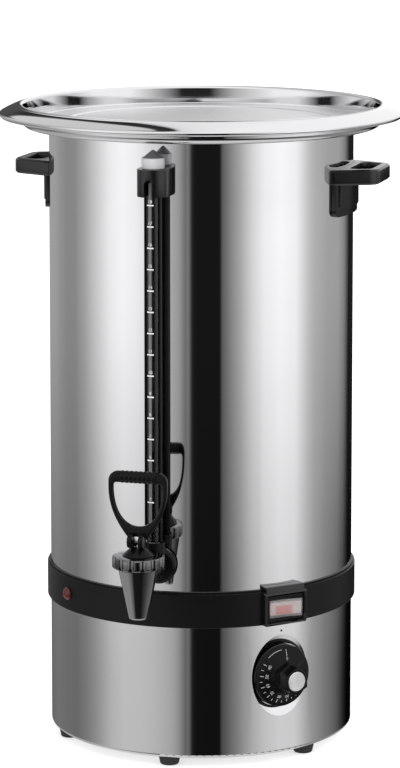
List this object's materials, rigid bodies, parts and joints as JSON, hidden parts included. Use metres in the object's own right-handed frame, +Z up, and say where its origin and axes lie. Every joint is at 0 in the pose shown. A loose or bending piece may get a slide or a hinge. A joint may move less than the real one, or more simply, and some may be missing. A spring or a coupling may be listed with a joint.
{
  "type": "hot_drink_dispenser",
  "caption": "Tall round steel hot drink urn with a D-lever tap, sight gauge, bow grips, thermostat knob and a wide cup tray that is its lid",
  "frame": {"origin": "on the vertical axis of the round body, in the plane of the feet's undersides", "axes": "+Z up, -Y to the front where the tap is, +X to the right seen from the front"},
  "size_m": [0.3456, 0.3867, 0.5493],
  "materials": {
    "polished_steel": "polished to a mirror, with faint drawing lines",
    "plated_steel": "plain, zinc plated or turned",
    "chrome": "polished",
    "black_gloss": "moulded, glossy",
    "black_satin": "moulded, half gloss",
    "black_rubber": "matt",
    "white_rubber": "matt",
    "clear_glass": "clear",
    "red_plastic": "translucent, glossy",
    "clear_plastic": "clear",
    "pale_plastic": "matt",
    "aluminium": "fine turned",
    "heater_steel": "heat-darkened",
    "copper": "bare copper"
  },
  "bodies": {
    "urn": {"vessel": "polished_steel", "base_shell": "polished_steel", "base_plate": "plated_steel", "feet": "black_rubber", "foot_screws": "plated_steel", "foot_nuts": "plated_steel", "band": "black_satin", "handle_left": "black_satin", "handle_right": "black_satin", "handle_screws": "plated_steel", "gauge_tube": "clear_glass", "gauge_guard": "black_gloss", "gauge_bracket": "black_gloss", "gauge_cap": "chrome", "gauge_lower_seal": "white_rubber", "gauge_upper_seal": "white_rubber", "bracket_screws": "plated_steel", "tap_shank": "black_gloss", "shank_gasket": "black_rubber", "shank_inner_gasket": "black_rubber", "shank_nut": "plated_steel", "tap_body": "chrome", "tap_collar": "chrome", "bonnet": "black_gloss", "valve_spring": "plated_steel", "switch_frame": "black_satin", "switch_body": "black_satin", "pilot_lamp": "red_plastic", "lamp_holder": "pale_plastic", "thermostat_nut": "plated_steel", "thermostat_body": "pale_plastic", "sensor_bulb": "copper", "heat_spreader": "aluminium", "heater_ring": "heater_steel", "thermal_cutout": "black_satin", "terminal_block": "pale_plastic", "cord_gland": "black_satin", "gland_nut": "black_satin"},
    "tray": {"tray": "polished_steel"},
    "valve": {"stem": "plated_steel", "seat_cup": "white_rubber"},
    "lever": {"lever": "black_gloss", "lever_pin": "plated_steel"},
    "knob": {"knob": "black_gloss", "knob_cap": "aluminium", "thermostat_spindle": "plated_steel"},
    "rocker": {"rocker": "red_plastic", "rocker_cap": "clear_plastic"}
  },
  "joints": [
    {"name": "tray_lift", "type": "slide", "parent": "urn", "child": "tray", "axis": [0, 0, 1], "range_m": [0, 0.12]},
    {"name": "valve_lift", "type": "slide", "parent": "urn", "child": "valve", "axis": [0, 0, 1], "range_m": [0, 0.00366], "stiffness_N_per_m": 300, "deforming": ["valve_spring"]},
    {"name": "lever_tilt", "type": "hinge", "parent": "valve", "child": "lever", "pos_m": [0, -0.1925, 0.209], "axis": [1, 0, 0], "range_deg": [0, 35]},
    {"name": "knob_turn", "type": "hinge", "parent": "urn", "child": "knob", "pos_m": [0.09401, -0.08921, 0.0755], "axis": [-0.7254, 0.6884, 0], "range_deg": [0, 280]},
    {"name": "rocker_tilt", "type": "hinge", "parent": "urn", "child": "rocker", "pos_m": [0.09721, -0.09225, 0.1351], "axis": [0, 0, 1], "range_deg": [0, 16]}
  ],
  "couplings": [
    {"joint": "lever_tilt", "follows": "valve_lift", "rad_per_m": 166.67}
  ]
}
